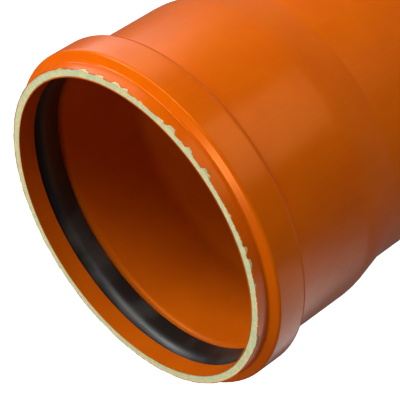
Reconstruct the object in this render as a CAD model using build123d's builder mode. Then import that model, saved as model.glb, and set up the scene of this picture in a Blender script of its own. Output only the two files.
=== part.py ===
"""Plastic sewer pipe: a short length with a ring socket at one end and a chamfered spigot at the other.

The wall is extruded in three layers at once, a solid skin outside, a foamed core and a solid skin
inside. One end is then heated and pushed over a forming mandrel, which makes the socket and the bead
that holds the sealing ring. So every layer follows the mandrel's line at its own depth in the wall.

Lengths are in millimetres. The pipe stands on its spigot end, on a floor at z = 0, with its mouth up.
"""

import os
from math import atan2, cos, hypot, radians, sin, tan

from build123d import *

# Pipe
pipe_diameter = 160.0
wall = 4.7
skin = 0.5
effective_length = 500.0

# Socket, across the axis: what the mandrel leaves round a spigot of the pipe's own diameter
socket_clearance = 0.6
lip_clearance = 1.2
groove_depth = 5.8

# Socket, along the axis, as distances between the mandrel's edges, starting at the mouth
lip_length = 9.8
groove_front_length = 2.2
groove_floor_length = 11.6
groove_back_length = 3.7
socket_bore_length = 50.6
taper_length = 23.1

# Roundings on the outside of the wall
bead_foot_rounding = 2.5
bead_front_rounding = 2.0
bead_back_rounding = 2.0
taper_outer_rounding = 36.0

# Roundings in the bore
bore_shoulder_rounding = 4.0
taper_inner_rounding = 30.0
pipe_bore_rounding = 8.0

# Spigot
chamfer_angle = 15.0
chamfer_depth = 2.4

# Sealing ring
ring_clearance = 0.2
seal_relief = 0.3
seal_slope = 0.3
toe_depth = 2.6
nose_setback = 4.7
lip_seal_length = 10.0
lip_seal_thickness = 1.5
cavity_depth = 6.0
cavity_taper = 0.9

pipe_radius = pipe_diameter / 2
pipe_bore_radius = pipe_radius - wall
socket_bore_radius = pipe_radius + socket_clearance
lip_bore_radius = pipe_radius + lip_clearance
groove_radius = socket_bore_radius + groove_depth

groove_start = lip_length
groove_floor_start = groove_start + groove_front_length
groove_floor_end = groove_floor_start + groove_floor_length
groove_end = groove_floor_end + groove_back_length
taper_start = groove_end + socket_bore_length
taper_end = taper_start + taper_length
total_length = effective_length + taper_start

# The mandrel's line from the mouth to the spigot end: distance along the axis and radius
mandrel = [
    (0, lip_bore_radius),
    (groove_start, lip_bore_radius),
    (groove_floor_start, groove_radius),
    (groove_floor_end, groove_radius),
    (groove_end, socket_bore_radius),
    (taper_start, socket_bore_radius),
    (taper_end, pipe_bore_radius),
    (total_length, pipe_bore_radius),
]

# Roundings of its inner corners, in the bore and on the outside
bore_roundings = [0, 0, 0, bore_shoulder_rounding, taper_inner_rounding, pipe_bore_rounding]
outside_roundings = [bead_foot_rounding, bead_front_rounding, bead_back_rounding, 0, taper_outer_rounding, 0]


def heading(start, end):
    """Angle of a stretch of the mandrel's line."""
    return atan2(end[1] - start[1], end[0] - start[0])


headings = [heading(start, end) for start, end in zip(mandrel, mandrel[1:])]
turns = [after - before for before, after in zip(headings, headings[1:])]


def wall_points(depth):
    """Corners of the line that lies at one depth in the wall, measured from the bore."""
    before = headings[:1] + headings
    after = headings + headings[-1:]
    points = []
    for (along, radius), first, second in zip(mandrel, before, after):
        middle = (first + second) / 2
        reach = depth / cos((second - first) / 2)
        points.append((along - reach * sin(middle), radius + reach * cos(middle)))
    return points


def seam_points(depth):
    """The hidden line between two layers: as wall_points, with each rounding drawn as one flat.

    The flat takes as much off the corner as keeps the skin beside it at its full thickness.
    """
    share = depth / wall
    corners = wall_points(depth)
    points = corners[:1]
    for corner, first, second, turn, inner, outer in zip(
        corners[1:], headings, headings[1:], turns, bore_roundings, outside_roundings
    ):
        rounding = inner if share < 0.5 else outer
        back = rounding * (1 / cos(turn / 2) - 1) / abs(sin(turn / 2))
        if rounding:
            points.append((corner[0] - back * cos(first), corner[1] - back * sin(first)))
            points.append((corner[0] + back * cos(second), corner[1] + back * sin(second)))
        else:
            points.append(corner)
    return points + corners[-1:]


# Spigot end, and the attitude: a section is drawn from the mouth down, with the radius along +X
chamfer_length = chamfer_depth / tan(radians(chamfer_angle))
spigot_edge = total_length - chamfer_length
end_radius = pipe_radius - chamfer_depth
bead_radius = groove_radius + wall

section_plane = Plane(origin=(0, 0, total_length), x_dir=(0, 0, -1), z_dir=(0, -1, 0))
pipe_axis = Axis.Z

chamfer_waste = [
    (spigot_edge - wall, pipe_radius + wall * tan(radians(chamfer_angle))),
    (total_length + wall, end_radius - wall * tan(radians(chamfer_angle))),
    (total_length + wall, bead_radius),
]


def bore_line():
    """The face in the bore, from the mouth to the spigot end."""
    return FilletPolyline(*wall_points(0), radius=bore_roundings)


def outside_line():
    """The face on the outside, from the mouth to the spigot end."""
    return FilletPolyline(*wall_points(wall), radius=outside_roundings)


# Inner skin
with BuildPart() as inner_skin:
    with BuildSketch(section_plane):
        with BuildLine():
            bore_face = bore_line()
            inner_seam = Polyline(*seam_points(skin))
            Line(bore_face @ 0, inner_seam @ 0)
            Line(bore_face @ 1, inner_seam @ 1)
        make_face()
    revolve(axis=pipe_axis)
inner_skin.part.label = "inner_skin"

# Foamed core, with the spigot's chamfer cut into it
with BuildPart() as wall_core:
    with BuildSketch(section_plane):
        with BuildLine():
            inner_seam = Polyline(*seam_points(skin))
            outer_seam = Polyline(*seam_points(wall - skin))
            Line(inner_seam @ 0, outer_seam @ 0)
            Line(inner_seam @ 1, outer_seam @ 1)
        make_face()
        with BuildLine():
            Polyline(*chamfer_waste, close=True)
        make_face(mode=Mode.SUBTRACT)
    revolve(axis=pipe_axis)
wall_core.part.label = "wall_core"

# Outer skin, which the chamfer cuts back
with BuildPart() as outer_skin:
    with BuildSketch(section_plane):
        with BuildLine():
            outer_seam = Polyline(*seam_points(wall - skin))
            outside_face = outside_line()
            Line(outer_seam @ 0, outside_face @ 0)
            Line(outer_seam @ 1, outside_face @ 1)
        make_face()
        with BuildLine():
            Polyline(*chamfer_waste, close=True)
        make_face(mode=Mode.SUBTRACT)
    revolve(axis=pipe_axis)
outer_skin.part.label = "outer_skin"


def beside_front_wall(radius):
    """Distance from the mouth of the ring's front flank at one radius."""
    slope = groove_front_length / (groove_radius - lip_bore_radius)
    return groove_start + (radius - lip_bore_radius) * slope + ring_clearance * hypot(1, slope)


def beside_back_wall(radius):
    """Distance from the mouth of the ring's back flank at one radius."""
    slope = groove_back_length / (groove_radius - socket_bore_radius)
    return groove_end - (radius - socket_bore_radius) * slope - ring_clearance * hypot(1, slope)


# Sealing ring: a rubber base that fills the bead, and a broad lip that points into the pipe. A tapered
# cavity behind the lip lets it give way when a spigot is pushed in.
seal_radius = socket_bore_radius - seal_relief
base_radius = groove_radius - ring_clearance
toe_radius = lip_bore_radius + toe_depth
nose = groove_start + nose_setback
lip_tip = nose + lip_seal_length
lip_back_radius = seal_radius + lip_seal_thickness
cavity_root_radius = lip_back_radius + cavity_taper
shelf_radius = cavity_root_radius + cavity_taper

with BuildPart() as sealing_ring:
    with BuildSketch(section_plane):
        with BuildLine():
            Polyline(
                (beside_front_wall(toe_radius), toe_radius),
                (nose, seal_radius + seal_slope),
                (lip_tip, seal_radius),
                (lip_tip, lip_back_radius),
                (lip_tip - cavity_depth, cavity_root_radius),
                (beside_back_wall(shelf_radius), shelf_radius),
                (beside_back_wall(base_radius), base_radius),
                (beside_front_wall(base_radius), base_radius),
                close=True,
            )
        make_face()
    revolve(axis=pipe_axis)
sealing_ring.part.label = "sealing_ring"

os.makedirs("parts", exist_ok=True)
export_step(inner_skin.part, "parts/inner_skin.step")
export_step(wall_core.part, "parts/wall_core.step")
export_step(outer_skin.part, "parts/outer_skin.step")
export_step(sealing_ring.part, "parts/sealing_ring.step")
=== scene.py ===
# %% [markdown]
# # A plastic sewer pipe with a ring socket
#
# The pipe is a short length of orange-brown drain pipe. Its wall is extruded in three layers at once: a
# solid skin outside, a pale foamed core, and a solid skin inside. One end is heated and pushed over a
# mandrel, which shapes the socket and the bead that holds a black rubber ring.
#
# This notebook dresses the CAD model of that pipe. Every object is in metres, in the frame of the CAD: the
# pipe stands on its spigot end at z = 0, its axis is the Z axis, and its mouth is at the top.

# %% Load the frame
from math import acos, atan2, ceil, cos, hypot, pi, radians, sin, tan

import bpy
from mathutils import Matrix, Vector


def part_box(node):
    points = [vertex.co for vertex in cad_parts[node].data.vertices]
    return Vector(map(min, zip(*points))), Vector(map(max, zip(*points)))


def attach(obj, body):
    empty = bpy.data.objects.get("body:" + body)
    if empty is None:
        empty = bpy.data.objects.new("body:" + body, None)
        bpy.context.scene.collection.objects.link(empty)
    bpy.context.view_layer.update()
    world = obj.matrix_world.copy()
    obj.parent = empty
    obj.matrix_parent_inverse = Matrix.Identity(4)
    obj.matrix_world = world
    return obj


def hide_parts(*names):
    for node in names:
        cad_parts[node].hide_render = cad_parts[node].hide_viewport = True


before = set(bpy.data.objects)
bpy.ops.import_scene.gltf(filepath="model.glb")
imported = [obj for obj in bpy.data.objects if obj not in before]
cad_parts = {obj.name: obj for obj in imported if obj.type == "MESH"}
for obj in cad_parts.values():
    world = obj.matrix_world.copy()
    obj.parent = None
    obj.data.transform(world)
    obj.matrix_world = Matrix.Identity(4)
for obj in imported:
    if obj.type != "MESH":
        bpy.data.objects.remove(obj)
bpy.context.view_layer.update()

# %% [markdown]
# ## The sizes
#
# The socket is a pipe maker's rule: a spigot of the pipe's own diameter plus a little room, a lip that is
# wider still, a bead for the ring, and a taper back to the pipe. The same sizes drive the CAD source. They are
# written once here, in millimetres, so that each piece of the picture can follow the solid that it dresses.

# %% Sizes of the pipe
MM = 0.001
pipe_radius = 80.0
wall = 4.7
skin = 0.5
lip_bore_radius = 81.2
lip_outer_radius = lip_bore_radius + wall
socket_bore_radius = 80.6
groove_radius = 86.4
pipe_bore_radius = pipe_radius - wall
total_length = 577.9
chamfer_angle = radians(15)
chamfer_depth = 2.4

# Distance from the mouth and radius at each corner of the mandrel
mandrel = [
    (0.0, lip_bore_radius),
    (9.8, lip_bore_radius),
    (12.0, groove_radius),
    (23.6, groove_radius),
    (27.3, socket_bore_radius),
    (77.9, socket_bore_radius),
    (101.0, pipe_bore_radius),
    (total_length, pipe_bore_radius),
]
# Roundings of its inner corners, as the highlights on the real pipe show them
bore_roundings = [0.4, 0.4, 0.6, 4.0, 30.0, 8.0]
outside_roundings = [1.9, 2.0, 3.0, 1.5, 36.0, 1.0]

# The CAD model's own roundings, which the hidden seams between the layers keep
cad_bore_roundings = [0, 0, 0, 4.0, 30.0, 8.0]
cad_outside_roundings = [2.5, 2.0, 2.0, 0, 36.0, 0]

cad_bead_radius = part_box("outer_skin")[1].x / MM
print("bead radius: CAD", round(cad_bead_radius, 3), "here", round(groove_radius + wall, 3))

# %% [markdown]
# ## The line that every layer follows
#
# All the layers take the mandrel's shape, each at its own depth in the wall. So one function offsets the
# mandrel's corners by a depth, and a second one rounds the corners. Rounding by arcs in code was chosen over
# a bevel modifier because each corner has its own radius, which the highlights on the real pipe show.

# %% Offset and round the mandrel's line
headings = [atan2(b[1] - a[1], b[0] - a[0]) for a, b in zip(mandrel, mandrel[1:])]


def line_at_depth(depth):
    """Corners of the line that lies at one depth in the wall, as (distance from the mouth, radius)."""
    points = []
    before = headings[:1] + headings
    after = headings + headings[-1:]
    for (along, radius), first, second in zip(mandrel, before, after):
        middle = (first + second) / 2
        reach = depth / cos((second - first) / 2)
        points.append(Vector((along - reach * sin(middle), radius + reach * cos(middle))))
    return points


STRAIGHT = 1e-4


def rounded(corners, roundings, step=radians(7)):
    """The line through the corners, with an arc of the given radius at each inner one."""
    line = [corners[0]]
    for before, corner, after, radius in zip(corners, corners[1:], corners[2:], roundings):
        into = (corner - before).normalized()
        out = (after - corner).normalized()
        turn = acos(max(-1.0, min(1.0, into.dot(out))))
        if radius == 0 or turn < STRAIGHT:
            line.append(corner)
            continue
        side = 1 if into.x * out.y - into.y * out.x > 0 else -1
        normal = Vector((-into.y, into.x)) * side
        centre = corner - into * (radius * tan(turn / 2)) + normal * radius
        steps = max(2, ceil(turn / step))
        for i in range(steps + 1):
            angle = turn * i / steps
            line.append(centre - normal * (radius * cos(angle)) + into * (radius * sin(angle)))
    return line + [corners[-1]]


def hidden_seam(depth):
    """The glued line between two layers: as line_at_depth, with each rounding cut by one flat."""
    corners = line_at_depth(depth)
    roundings = cad_bore_roundings if depth < wall / 2 else cad_outside_roundings
    points = [corners[0]]
    for corner, first, second, radius in zip(corners[1:], headings, headings[1:], roundings):
        turn = second - first
        back = radius * (1 / cos(turn / 2) - 1) / abs(sin(turn / 2))
        if back:
            points.append(corner - Vector((cos(first), sin(first))) * back)
            points.append(corner + Vector((cos(second), sin(second))) * back)
        else:
            points.append(corner)
    return points + corners[-1:]


outside_line = rounded(line_at_depth(wall), outside_roundings)
bore_line = rounded(line_at_depth(0), bore_roundings)
print("outside line", len(outside_line), "points, bore line", len(bore_line), "points")

# %% [markdown]
# ## A Geometry Nodes tree that turns a section into a layer
#
# Each layer is its section swept round the pipe's axis. The Screw modifier could do that, but a tree can also
# tear the rim while it sweeps, which is what the saw did to the real one. The tree lays a grid, moves each of
# its points to the section's point turned by its angle, and welds the grid shut.
#
# The tear is a group of its own, because the skin that is torn and the foam that shows under it have to
# agree on where the bites are. It samples noise on the circle itself, so the pattern closes on itself.

# %% One function that adds a node
def add(tree, kind, inputs=None, **settings):
    """Adds a node with its settings, and with each input either linked or set."""
    node = tree.nodes.new(kind)
    for name, value in settings.items():
        setattr(node, name, value)
    for key, value in (inputs or {}).items():
        if isinstance(value, bpy.types.NodeSocket):
            tree.links.new(value, node.inputs[key])
        else:
            node.inputs[key].default_value = value
    return node


def maths(tree, operation, *values, **settings):
    """A maths node on one or two values."""
    return add(tree, "ShaderNodeMath", dict(enumerate(values)), operation=operation, **settings)


def spread(tree, value, start, end, low=0.0, high=1.0, curve="LINEAR"):
    """A node that maps start to low and end to high, and holds still beyond them."""
    inputs = {"Value": value, "From Min": start, "From Max": end, "To Min": low, "To Max": high}
    return add(tree, "ShaderNodeMapRange", inputs, interpolation_type=curve)


def new_tree(name, inputs, outputs):
    """An empty Geometry Nodes tree with named sockets, and its input and output nodes."""
    tree = bpy.data.node_groups.new(name, "GeometryNodeTree")
    for direction, sockets in (("INPUT", inputs), ("OUTPUT", outputs)):
        for label, kind in sockets:
            tree.interface.new_socket(label, in_out=direction, socket_type=kind)
    return tree, tree.nodes.new("NodeGroupInput"), tree.nodes.new("NodeGroupOutput")


# %% The saw's tear, as a share of its full depth
# Middle of the side where the blade came out and tore. The tear fades out about 70 degrees from it.
exit_side_azimuth = radians(-88)
crumbs_per_bite = 2.6

tear, tear_in, tear_out = new_tree(
    "Saw tear",
    [("Around", "NodeSocketVector"), ("Bite length", "NodeSocketFloat"), ("Seed", "NodeSocketFloat")],
    [("Tear", "NodeSocketFloat")],
)
on_rim = add(tear, "ShaderNodeVectorMath", {
    0: tear_in.outputs["Around"], 1: (lip_outer_radius * MM,) * 3,
}, operation="MULTIPLY")
bites_per_metre = maths(tear, "DIVIDE", 0.5, tear_in.outputs["Bite length"])
bites = add(tear, "ShaderNodeTexNoise", {
    "Vector": on_rim.outputs[0], "W": tear_in.outputs["Seed"], "Scale": bites_per_metre.outputs[0],
    "Detail": 1.0, "Roughness": 0.4,
}, noise_dimensions="4D")
bitten = spread(tear, bites.outputs[0], 0.50, 0.60, 0.0, 0.72, curve="SMOOTHSTEP")
crumbs_per_metre = maths(tear, "MULTIPLY", bites_per_metre.outputs[0], crumbs_per_bite)
crumbs = add(tear, "ShaderNodeTexNoise", {
    "Vector": on_rim.outputs[0], "W": tear_in.outputs["Seed"], "Scale": crumbs_per_metre.outputs[0],
    "Detail": 2.0,
}, noise_dimensions="4D")
crumbled = spread(tear, crumbs.outputs[0], 0.42, 0.62, -0.08, 0.28)
torn = maths(tear, "ADD", bitten.outputs[0], crumbled.outputs[0], use_clamp=True)
exit_side = add(tear, "ShaderNodeVectorMath", {
    0: tear_in.outputs["Around"], 1: (cos(exit_side_azimuth), sin(exit_side_azimuth), 0.0),
}, operation="DOT_PRODUCT")
exit_mask = spread(tear, exit_side.outputs["Value"], 0.26, 0.40, 0.08, 1.0, curve="SMOOTHSTEP")
masked = maths(tear, "MULTIPLY", torn.outputs[0], exit_mask.outputs[0])
tear.links.new(masked.outputs[0], tear_out.inputs["Tear"])
print("tear group:", len(tear.nodes), "nodes")

# %% The sweep
saw_grain_per_metre = 1300.0
weld_distance = 0.002 * MM

sweep, sweep_in, sweep_out = new_tree(
    "Layer of the wall",
    [
        ("Section", "NodeSocketGeometry"),
        ("Segments", "NodeSocketInt"),
        ("Tear depth", "NodeSocketFloat"),
        ("Fray", "NodeSocketFloat"),
        ("Roughness", "NodeSocketFloat"),
        ("Bite length", "NodeSocketFloat"),
        ("Seed", "NodeSocketFloat"),
        ("Material", "NodeSocketMaterial"),
    ],
    [("Layer", "NodeSocketGeometry")],
)
count = add(sweep, "GeometryNodeAttributeDomainSize", {0: sweep_in.outputs["Section"]}, component="MESH")
rows = maths(sweep, "ADD", count.outputs["Point Count"], 1.0)
columns = maths(sweep, "ADD", sweep_in.outputs["Segments"], 1.0)
grid = add(sweep, "GeometryNodeMeshGrid", {"Vertices X": rows.outputs[0], "Vertices Y": columns.outputs[0]})
index = add(sweep, "GeometryNodeInputIndex")
row_share = maths(sweep, "DIVIDE", index.outputs[0], columns.outputs[0])
row_whole = maths(sweep, "FLOOR", row_share.outputs[0])
row = maths(sweep, "MODULO", row_whole.outputs[0], count.outputs["Point Count"])
column = maths(sweep, "MODULO", index.outputs[0], columns.outputs[0])
turns_done = maths(sweep, "DIVIDE", column.outputs[0], sweep_in.outputs["Segments"])
angle = maths(sweep, "MULTIPLY", turns_done.outputs[0], 2 * pi)
cosine = maths(sweep, "COSINE", angle.outputs[0])
sine = maths(sweep, "SINE", angle.outputs[0])
around = add(sweep, "ShaderNodeCombineXYZ", {"X": cosine.outputs[0], "Y": sine.outputs[0], "Z": 0.0})

position = add(sweep, "GeometryNodeInputPosition")
place = add(sweep, "GeometryNodeSampleIndex", {
    "Geometry": sweep_in.outputs["Section"], "Value": position.outputs[0], "Index": row.outputs[0],
}, data_type="FLOAT_VECTOR", domain="POINT")
section_point = add(sweep, "ShaderNodeSeparateXYZ", {0: place.outputs[0]})
weights = {}
for name in ("torn", "frayed", "rough"):
    named = add(sweep, "GeometryNodeInputNamedAttribute", {"Name": name}, data_type="FLOAT")
    weights[name] = add(sweep, "GeometryNodeSampleIndex", {
        "Geometry": sweep_in.outputs["Section"], "Value": named.outputs[0], "Index": row.outputs[0],
    }, data_type="FLOAT", domain="POINT").outputs[0]

tear_here = add(sweep, "GeometryNodeGroup", node_tree=tear)
for key, value in (
    ("Around", around.outputs[0]),
    ("Bite length", sweep_in.outputs["Bite length"]),
    ("Seed", sweep_in.outputs["Seed"]),
):
    sweep.links.new(value, tear_here.inputs[key])
sunk = maths(sweep, "MULTIPLY", tear_here.outputs[0], sweep_in.outputs["Tear depth"])
sunk_here = maths(sweep, "MULTIPLY", sunk.outputs[0], weights["torn"])
raised = maths(sweep, "MULTIPLY", tear_here.outputs[0], sweep_in.outputs["Fray"])
raised_here = maths(sweep, "MULTIPLY", raised.outputs[0], weights["frayed"])
radius = maths(sweep, "ADD", section_point.outputs["X"], raised_here.outputs[0])
swept_place = add(sweep, "ShaderNodeVectorMath", {
    0: around.outputs[0], "Scale": radius.outputs[0],
}, operation="SCALE")
grain = add(sweep, "ShaderNodeTexNoise", {
    "Vector": swept_place.outputs[0], "W": sweep_in.outputs["Seed"], "Scale": saw_grain_per_metre,
    "Detail": 2.0,
}, noise_dimensions="4D")
grain_depth = maths(sweep, "MULTIPLY", grain.outputs[0], sweep_in.outputs["Roughness"])
grain_here = maths(sweep, "MULTIPLY", grain_depth.outputs[0], weights["rough"])
drop = maths(sweep, "ADD", sunk_here.outputs[0], grain_here.outputs[0])
height = maths(sweep, "SUBTRACT", section_point.outputs["Z"], drop.outputs[0])
lifted = add(sweep, "ShaderNodeCombineXYZ", {"X": 0.0, "Y": 0.0, "Z": height.outputs[0]})
final_place = add(sweep, "ShaderNodeVectorMath", {
    0: swept_place.outputs[0], 1: lifted.outputs[0],
}, operation="ADD")
moved = add(sweep, "GeometryNodeSetPosition", {
    "Geometry": grid.outputs["Mesh"], "Position": final_place.outputs[0],
})
welded = add(sweep, "GeometryNodeMergeByDistance", {"Geometry": moved.outputs[0], "Distance": weld_distance})
realized = add(sweep, "GeometryNodeRealizeInstances", {"Geometry": welded.outputs[0]})
painted = add(sweep, "GeometryNodeSetMaterial", {
    "Geometry": realized.outputs[0], "Material": sweep_in.outputs["Material"],
})
sweep.links.new(painted.outputs[0], sweep_out.inputs["Layer"])
print("sweep tree:", len(sweep.nodes), "nodes")

# %% [markdown]
# ## Colours and materials
#
# Colours are picked as a screen shows them, so one function turns such a hex value into the linear numbers
# that the renderer works with.

# %% Colour and material helpers
def linear(hex_value):
    """Linear RGBA of an sRGB hex colour."""
    channels = [int(hex_value[i:i + 2], 16) / 255 for i in (1, 3, 5)]
    return (*[c / 12.92 if c <= 0.04045 else ((c + 0.055) / 1.055) ** 2.4 for c in channels], 1.0)


def new_material(name):
    """A material with only its output, its shader and its object coordinates."""
    material = bpy.data.materials.new(name)
    material.use_nodes = True
    tree = material.node_tree
    shader = tree.nodes["Principled BSDF"]
    where = add(tree, "ShaderNodeTexCoord").outputs["Object"]
    return material, tree, shader, where


def mixed(tree, share, first, second):
    """A node that mixes two colours by a share."""
    return add(tree, "ShaderNodeMix", {0: share, 6: first, 7: second}, data_type="RGBA")


def per(size_mm):
    """Texture scale, in repeats a metre, of a pattern whose features are this wide."""
    return 1000.0 / size_mm


# %% [markdown]
# ### Extruded PVC-U, orange-brown
#
# Both skins are solid PVC-U, coloured in the mass. It leaves a polished die, so the surface is smooth and
# satin, with soft reflections. What tells the eye that it was extruded are very fine lines along the pipe,
# about a millimetre apart and a few centimetres long, and a faint clouding of the colour. The lines are noise
# that is stretched along Z. The ripple that forming leaves is some millimetres wide. The pigment and the
# filler reach right up to the surface, so even its reflections are a little orange.

# %% PVC-U skin
def pvc_skin(name, base, deep, pale, roughness):
    material, tree, shader, where = new_material(name)
    along = add(tree, "ShaderNodeMapping", {"Vector": where, "Scale": (1.0, 1.0, 0.02)})
    die_lines = add(tree, "ShaderNodeTexNoise", {
        "Vector": along.outputs[0], "Scale": per(1.1), "Detail": 3.0, "Roughness": 0.6,
    })
    clouds = add(tree, "ShaderNodeTexNoise", {
        "Vector": where, "Scale": per(38), "Detail": 3.0, "Roughness": 0.55,
    })
    peel = add(tree, "ShaderNodeTexNoise", {"Vector": where, "Scale": per(3.2), "Detail": 2.0})
    specks = add(tree, "ShaderNodeTexNoise", {"Vector": where, "Scale": per(0.35), "Detail": 1.0})
    cloud_share = spread(tree, clouds.outputs[0], 0.3, 0.7, curve="SMOOTHSTEP")
    tint = mixed(tree, cloud_share.outputs[0], linear(base), linear(deep))
    line_share = spread(tree, die_lines.outputs[0], 0.55, 0.8, 0.0, 0.22)
    lined = mixed(tree, line_share.outputs[0], tint.outputs[2], linear(pale))
    tree.links.new(lined.outputs[2], shader.inputs["Base Color"])
    gloss = spread(
        tree, clouds.outputs[0], 0.25, 0.75, roughness - 0.04, roughness + 0.05, curve="SMOOTHSTEP",
    )
    tree.links.new(gloss.outputs[0], shader.inputs["Roughness"])
    lines_bump = add(tree, "ShaderNodeBump", {
        "Strength": 0.35, "Distance": 0.03 * MM, "Height": die_lines.outputs[0],
    })
    peel_bump = add(tree, "ShaderNodeBump", {
        "Strength": 0.3, "Distance": 0.06 * MM, "Height": peel.outputs[0], "Normal": lines_bump.outputs[0],
    })
    speck_bump = add(tree, "ShaderNodeBump", {
        "Strength": 0.12, "Distance": 0.02 * MM, "Height": specks.outputs[0], "Normal": peel_bump.outputs[0],
    })
    tree.links.new(speck_bump.outputs[0], shader.inputs["Normal"])
    shader.inputs["IOR"].default_value = 1.53
    shader.inputs["Specular Tint"].default_value = linear("#FF9E4A")
    return material


outer_pvc = pvc_skin("PVC-U skin extruded", "#EC6A00", "#E46200", "#F3842A", 0.23)
inner_pvc = pvc_skin("PVC-U bore skin extruded", "#E06A08", "#D86204", "#E87E30", 0.34)
print("PVC-U skins:", len(outer_pvc.node_tree.nodes), "nodes each")

# %% [markdown]
# ### Foamed PVC-U, sawn
#
# The core is the same plastic without the colour, blown full of closed cells. Sawing opens the cells, so
# the cut is matte and cream, a little greenish in soft patches, and painted darker in the open cells' hollows
# as their shade. The real cells are 0.1 to 0.3 mm wide. They are drawn here at 0.5 mm so that they show in
# the picture.

# %% Foamed PVC-U
foam, tree, shader, where = new_material("PVC-U foam sawn")
cells = add(tree, "ShaderNodeTexVoronoi", {"Vector": where, "Scale": per(0.5)}, feature="F1")
blotches = add(tree, "ShaderNodeTexNoise", {"Vector": where, "Scale": per(2.6), "Detail": 3.0})
saw_lines = add(tree, "ShaderNodeMapping", {
    "Vector": where, "Rotation": (0.0, 0.0, radians(35)), "Scale": (1.0, 0.06, 1.0),
})
scored = add(tree, "ShaderNodeTexNoise", {"Vector": saw_lines.outputs[0], "Scale": per(0.8), "Detail": 2.0})
# Painted shade: each cell turns darker and yellower towards its middle, where the bump sinks it into a hollow.
cell_hollow_shade = spread(tree, cells.outputs["Distance"], 0.0, 0.7)
foam_with_hollow_shade = mixed(tree, cell_hollow_shade.outputs[0], linear("#D8CC88"), linear("#F4EBB2"))
blotch_share = spread(tree, blotches.outputs[0], 0.40, 0.62, 0.0, 0.85, curve="SMOOTHSTEP")
foam_colour = mixed(tree, blotch_share.outputs[0], foam_with_hollow_shade.outputs[2], linear("#CDDDB0"))
tree.links.new(foam_colour.outputs[2], shader.inputs["Base Color"])
cell_bump = add(tree, "ShaderNodeBump", {
    "Strength": 0.7, "Distance": 0.12 * MM, "Height": cells.outputs["Distance"],
})
saw_bump = add(tree, "ShaderNodeBump", {
    "Strength": 0.6, "Distance": 0.1 * MM, "Height": scored.outputs[0], "Normal": cell_bump.outputs[0],
})
tree.links.new(saw_bump.outputs[0], shader.inputs["Normal"])
shader.inputs["Roughness"].default_value = 0.72
shader.inputs["IOR"].default_value = 1.5
print("foam:", len(tree.nodes), "nodes")

# %% [markdown]
# ### Moulded rubber
#
# The ring is moulded synthetic rubber, black with a fine matte grain from the mould. Mould release and
# handling leave it greyer in soft patches. These are lightened further as a painted sheen, which is why its
# broad face looks dark grey and not black.

# %% Rubber
rubber, tree, shader, where = new_material("Synthetic rubber moulded")
bloom_and_sheen = add(tree, "ShaderNodeTexNoise", {"Vector": where, "Scale": per(26), "Detail": 3.0, "Roughness": 0.5})
mould_grain = add(tree, "ShaderNodeTexNoise", {"Vector": where, "Scale": per(0.3), "Detail": 2.0})
# Greyer patches: partly mould bloom, partly a painted sheen on the ring's broad face.
bloom_and_sheen_share = spread(tree, bloom_and_sheen.outputs[0], 0.42, 0.62)
rubber_colour = mixed(tree, bloom_and_sheen_share.outputs[0], linear("#1E1E1C"), linear("#3C3C37"))
tree.links.new(rubber_colour.outputs[2], shader.inputs["Base Color"])
rubber_gloss = spread(tree, bloom_and_sheen.outputs[0], 0.35, 0.7, 0.33, 0.48)
tree.links.new(rubber_gloss.outputs[0], shader.inputs["Roughness"])
grain_bump = add(tree, "ShaderNodeBump", {
    "Strength": 0.3, "Distance": 0.04 * MM, "Height": mould_grain.outputs[0],
})
tree.links.new(grain_bump.outputs[0], shader.inputs["Normal"])
shader.inputs["IOR"].default_value = 1.52
print("rubber:", len(tree.nodes), "nodes")

# %% [markdown]
# ## Making a layer
#
# A section is a closed loop of points in the XZ plane. Three numbers ride on each point: how far the tear
# moves it down, how far it frays outwards, and how rough the saw left it. The loop goes into the tree, and the
# swept result comes back as a plain mesh.

# %% Section to mesh
SHARP_ANGLE = radians(32)


def section_object(name, points):
    """A closed loop from (distance from the mouth, radius, torn, frayed, rough), in metres."""
    mesh = bpy.data.meshes.new(name)
    places = [(radius * MM, 0.0, (total_length - along) * MM) for along, radius, *_ in points]
    mesh.from_pydata(places, [(i, (i + 1) % len(places)) for i in range(len(places))], [])
    for column, label in enumerate(("torn", "frayed", "rough"), start=2):
        weight = mesh.attributes.new(label, "FLOAT", "POINT")
        weight.data.foreach_set("value", [float(point[column]) for point in points])
    piece = bpy.data.objects.new(name, mesh)
    bpy.context.scene.collection.objects.link(piece)
    return piece


def run_tree(piece, tree, **values):
    """Sets the tree's named inputs, evaluates it, and puts the plain mesh in the piece."""
    modifier = piece.modifiers.new(tree.name, "NODES")
    modifier.node_group = tree
    for socket in tree.interface.items_tree:
        label = socket.name.lower().replace(" ", "_")
        if socket.in_out == "INPUT" and label in values:
            modifier[socket.identifier] = values[label]
    bpy.context.view_layer.update()
    evaluated = piece.evaluated_get(bpy.context.evaluated_depsgraph_get())
    mesh = bpy.data.meshes.new_from_object(evaluated)
    piece.modifiers.remove(modifier)
    piece.data = mesh
    mesh.name = piece.name
    return mesh


def signed_volume(mesh):
    """Volume inside the mesh in cubic metres, negative if it is inside out."""
    mesh.calc_loop_triangles()
    total = 0.0
    for triangle in mesh.loop_triangles:
        a, b, c = (mesh.vertices[i].co for i in triangle.vertices)
        total += a.dot(b.cross(c)) / 6
    return total


def make_layer(name, node, points, material, slot, **values):
    """Sweeps a section into the piece that stands for one CAD node."""
    piece = section_object(name, points)
    mesh = run_tree(piece, sweep, material=material, **values)
    if signed_volume(mesh) < 0:
        mesh.flip_normals()
    mesh.shade_smooth()
    mesh.set_sharp_from_angle(angle=SHARP_ANGLE)
    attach(piece, "root")
    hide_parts(node)
    print(name, "faces", len(mesh.polygons), "volume cm3", round(signed_volume(mesh) * 1e6, 2))


# %% [markdown]
# ## Outer skin
#
# The outer skin is what most of the picture shows. Its section is the outside line, cut back by the chamfer
# at the spigot, and closed along the seam with the foam. At the mouth the saw tore small bites out of it, up
# to two millimetres deep. So the skin's two rim points move down by the tear, the inner one less than the
# outer one, which leaves a slanted break. A row of points 3.2 mm below the rim keeps the rest in place.

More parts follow.
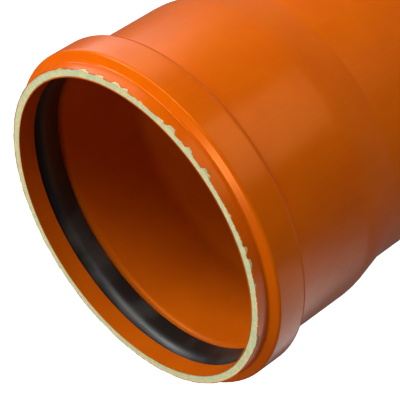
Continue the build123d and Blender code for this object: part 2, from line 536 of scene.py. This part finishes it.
# %% Outer skin piece
chamfer_run = chamfer_depth / tan(chamfer_angle)
spigot_edge = total_length - chamfer_run
outer_seam = hidden_seam(wall - skin)
inner_seam = hidden_seam(skin)
skin_cut = spigot_edge + skin / tan(chamfer_angle)
tear_reach = 3.2
edge_run, edge_drop = 0.25, 0.06  # the small rounding where the chamfer starts
saw = {"segments": 1500, "bite_length": 3.4 * MM, "seed": 4.0}

outer_points = [(0.0, lip_outer_radius, 1.0, 0, 0), (tear_reach, lip_outer_radius, 0, 0, 0)]
outer_points += [(p.x, p.y, 0, 0, 0) for p in outside_line[1:-1]]
outer_points += [(spigot_edge - edge_run, pipe_radius, 0, 0, 0)]
outer_points += [(spigot_edge + edge_run, pipe_radius - edge_drop, 0, 0, 0)]
outer_points += [(skin_cut, pipe_radius - skin, 0, 0, 0)]
outer_points += [(p.x, p.y, 0, 0, 0) for p in reversed(outer_seam[1:-1])]
outer_points += [(0.0, outer_seam[0].y, 0.7, 0, 0)]
make_layer(
    "outer_skin_torn", "outer_skin", outer_points, outer_pvc, "pvc_skin", tear_depth=2.3 * MM, **saw,
)

# %% [markdown]
# ## Foamed core
#
# The core shows as the pale ring on the cut mouth, and again on the chamfer. Its cut face gets rows of
# points of its own, so that the saw's roughness can be real relief there. Where the skin is bitten away, the
# foam's edge frays outwards and fills the bite, which is what makes the pale teeth round the rim.

# %% Foamed core piece
face_rows = 7
core_edge = outer_seam[0].y
core_points = [(0.0, core_edge, 0, 1.0, 0.3)]
core_points += [(along, core_edge, 0, share, 0) for along, share in ((0.6, 0.8), (1.4, 0.45), (3.0, 0))]
core_points += [(p.x, p.y, 0, 0, 0) for p in outer_seam[1:-1]]
core_points += [(skin_cut, pipe_radius - skin, 0, 0, 0)]
core_points += [(total_length, pipe_radius - chamfer_depth, 0, 0, 0)]
core_points += [(p.x, p.y, 0, 0, 0) for p in reversed(inner_seam[1:])]
for i in range(face_rows):
    share = (i + 0.25) / face_rows
    core_points += [(0.0, inner_seam[0].y + (core_edge - inner_seam[0].y) * share, 0, 0, 1.0)]
make_layer(
    "wall_core_sawn", "wall_core", core_points, foam, "foamed_pvc",
    fray=0.75 * MM, roughness=0.25 * MM, **saw,
)

# %% [markdown]
# ## Inner skin
#
# The inner skin is smooth all over: the mandrel polishes it, and the saw leaves its edge clean. It needs
# fewer segments, because nothing on it is finer than its roundings.

# %% Inner skin piece
SMOOTH_SEGMENTS = 480
inner_points = [(p.x, p.y, 0, 0, 0) for p in inner_seam]
inner_points += [(p.x, p.y, 0, 0, 0) for p in reversed(bore_line)]
make_layer(
    "inner_skin_polished", "inner_skin", inner_points, inner_pvc, "pvc_skin", segments=SMOOTH_SEGMENTS,
)

# %% [markdown]
# ## Sealing ring
#
# The ring is moulded in one piece: a base that fills the bead, a sloping face that guides the spigot in, and
# a broad lip that points into the pipe, with a cavity behind it. Moulded rubber has no sharp edges, so each
# corner of the section gets its own rounding. The largest one bends the sloping face into the lip, and
# carries the soft grey sheen that the photograph shows there.

# %% Sealing ring piece
# Distance from the mouth and radius at each corner, from its toe round to its base
ring_corners = [
    (11.117, 83.8), (14.5, 80.6), (24.5, 80.3), (24.5, 81.8),
    (18.5, 82.7), (25.149, 83.6), (23.490, 86.2), (12.133, 86.2),
]
ring_roundings = [0.5, 9.0, 0.5, 0.5, 0.35, 0.5, 0.5, 0.5]
closed = [Vector(ring_corners[-1])] + [Vector(c) for c in ring_corners] + [Vector(ring_corners[0])]
ring_line = rounded(closed, ring_roundings, radians(9))[1:-1]
ring_points = [(p.x, p.y, 0, 0, 0) for p in ring_line]
ring_low, ring_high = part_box("sealing_ring")
ring_ends = [round(total_length - z / MM, 3) for z in (ring_high.z, ring_low.z)]
print("CAD ring from and to", ring_ends, "radius", round(ring_high.x / MM, 3))
make_layer(
    "sealing_ring_moulded", "sealing_ring", ring_points, rubber, "seal_rubber", segments=SMOOTH_SEGMENTS,
)

# %% [markdown]
# ## Camera
#
# The photograph looks into the mouth from the side, about 59 degrees off the pipe's axis, with the mouth at
# the lower left. Fitting ellipses to the rim gave the pipe's axis and the rim's centre as the camera sees
# them. Here the pipe stands, so the camera is rolled to hold the same view of it.

# %% Camera
focal_in_pixels = 1941
picture_in_pixels = 400
sensor_width = 36.0
axis_seen = Vector((0.7151, 0.4724, 0.5152)).normalized()
centre_seen = Vector((-0.3904, -0.1664, 10.836)) * lip_outer_radius * MM
forward = Vector((0.0, hypot(axis_seen.x, axis_seen.y), -axis_seen.z))
down = Vector((0.0, 0.0, -1.0))
across = down - forward * axis_seen.z
side = across.cross(forward)
right = (across * axis_seen.x - side * axis_seen.y) / across.length_squared
up = (across * axis_seen.y + side * axis_seen.x) / across.length_squared
mouth = Vector((0.0, 0.0, total_length * MM))
camera = bpy.data.objects.new("Camera", bpy.data.cameras.new("Camera"))
bpy.context.scene.collection.objects.link(camera)
camera.data.sensor_width = sensor_width
camera.data.lens = focal_in_pixels / picture_in_pixels * sensor_width
camera.data.clip_start = 0.01
camera.data.clip_end = 20.0
camera_place = mouth - right * centre_seen.x - up * centre_seen.y - forward * centre_seen.z
camera_turn = Matrix((right, up, -forward)).transposed().to_4x4()
camera.matrix_world = Matrix.Translation(camera_place) @ camera_turn
bpy.context.scene.camera = camera
print("camera at", [round(v, 4) for v in camera_place])
print("right-handed view axes, 1 is exact:", round(right.cross(up).dot(-forward), 4))

# %% [markdown]
# ## Floor and light
#
# The pipe stands on a plain pale floor, among eight soft lamps. Four are above the mouth: they light the
# foam, the bead and the inside, which stays dark at the upper left as in the photograph. The others are low,
# and draw the broad soft highlights along the pipe. Their powers come from a fit: each lamp was rendered
# alone, and the shares were weighed so that their sum follows the shading in the photograph. They were then
# finished one by one.
#
# The floor and the surround look white to the camera only, so the white background costs the pipe no extra
# light. The floor is a little less white near the pipe, which leaves a pale contact shadow, and is not lifted
# inside the pipe, so that its far end stays dark.

# %% Floor
floor_mesh = bpy.data.meshes.new("floor")
reach = 6
floor_corners = [(-reach, -reach, 0), (reach, -reach, 0), (reach, reach, 0), (-reach, reach, 0)]
floor_mesh.from_pydata(floor_corners, [], [(0, 1, 2, 3)])
floor = bpy.data.objects.new("floor", floor_mesh)
bpy.context.scene.collection.objects.link(floor)
floor_paint, tree, shader, where = new_material("Floor paint matte")
rays = add(tree, "ShaderNodeLightPath")
from_axis = add(tree, "ShaderNodeVectorMath", {0: where}, operation="LENGTH")
outside_pipe = spread(tree, from_axis.outputs["Value"], 0.074, 0.080)
far_away = spread(tree, from_axis.outputs["Value"], 0.15, 0.9, 0.84, 1.0)
lift_here = maths(tree, "MULTIPLY", outside_pipe.outputs[0], far_away.outputs[0])
lift = maths(tree, "MULTIPLY", rays.outputs["Is Camera Ray"], lift_here.outputs[0])
paint = mixed(tree, rays.outputs["Is Camera Ray"], linear("#808080"), linear("#EAEAEA"))
tree.links.new(paint.outputs[2], shader.inputs["Base Color"])
shader.inputs["Roughness"].default_value = 0.9
glow = add(tree, "ShaderNodeEmission", {"Color": (1, 1, 1, 1), "Strength": lift.outputs[0]})
both = add(tree, "ShaderNodeAddShader", {0: shader.outputs[0], 1: glow.outputs[0]})
tree.links.new(both.outputs[0], tree.nodes["Material Output"].inputs["Surface"])
floor_mesh.materials.append(floor_paint)

# %% Surround and lamps
world = bpy.data.worlds.new("Surround")
bpy.context.scene.world = world
world.use_nodes = True
tree = world.node_tree
rays = add(tree, "ShaderNodeLightPath")
strength = spread(tree, rays.outputs["Is Camera Ray"], 0.0, 1.0, 0.05, 1.0)
background = tree.nodes["Background"]
background.inputs["Color"].default_value = (1, 1, 1, 1)
tree.links.new(strength.outputs[0], background.inputs["Strength"])


def softbox(name, azimuth, distance, height, width, tall, power):
    """An upright soft lamp beside the pipe, its middle at a height, turned to the pipe's mouth."""
    light = bpy.data.lights.new(name, "AREA")
    light.shape = "RECTANGLE"
    light.size = width
    light.size_y = tall
    light.energy = power
    holder = bpy.data.objects.new(name, light)
    bpy.context.scene.collection.objects.link(holder)
    place = Vector((cos(radians(azimuth)) * distance, sin(radians(azimuth)) * distance, height))
    turn = (mouth - place).to_track_quat("-Z", "Y").to_matrix().to_4x4()
    holder.matrix_world = Matrix.Translation(place) @ turn
    print(name, "at", [round(v, 2) for v in place])


# Name, azimuth in degrees, distance, height, width and height of the box in metres, power in watts
lamps = [
    ("High softbox", -38, 1.0, 1.02, 0.7, 0.35, 5.2),
    ("Right softbox", 0, 1.0, 1.0, 0.5, 0.35, 4.5),
    ("Top softbox", 0, 0.01, 2.60, 0.4, 0.4, 16.5),
    ("Mouth softbox", -66, 0.95, 0.72, 0.45, 0.16, 0.8),
    ("Low softbox", 6, 0.80, 0.30, 0.9, 0.5, 2.2),
    ("Front softbox", -84, 0.72, 0.18, 0.5, 0.28, 1.2),
    ("Side softbox", -135, 1.0, 0.42, 0.5, 0.25, 0.3),
    ("Back softbox", 165, 0.80, 0.16, 1.1, 0.3, 1.1),
]
for lamp in lamps:
    softbox(*lamp)

# %% [markdown]
# ## Last settings
#
# The view transform is Standard, so a colour renders about as it was written.

# %% Finish
bpy.context.scene.view_settings.view_transform = "Standard"
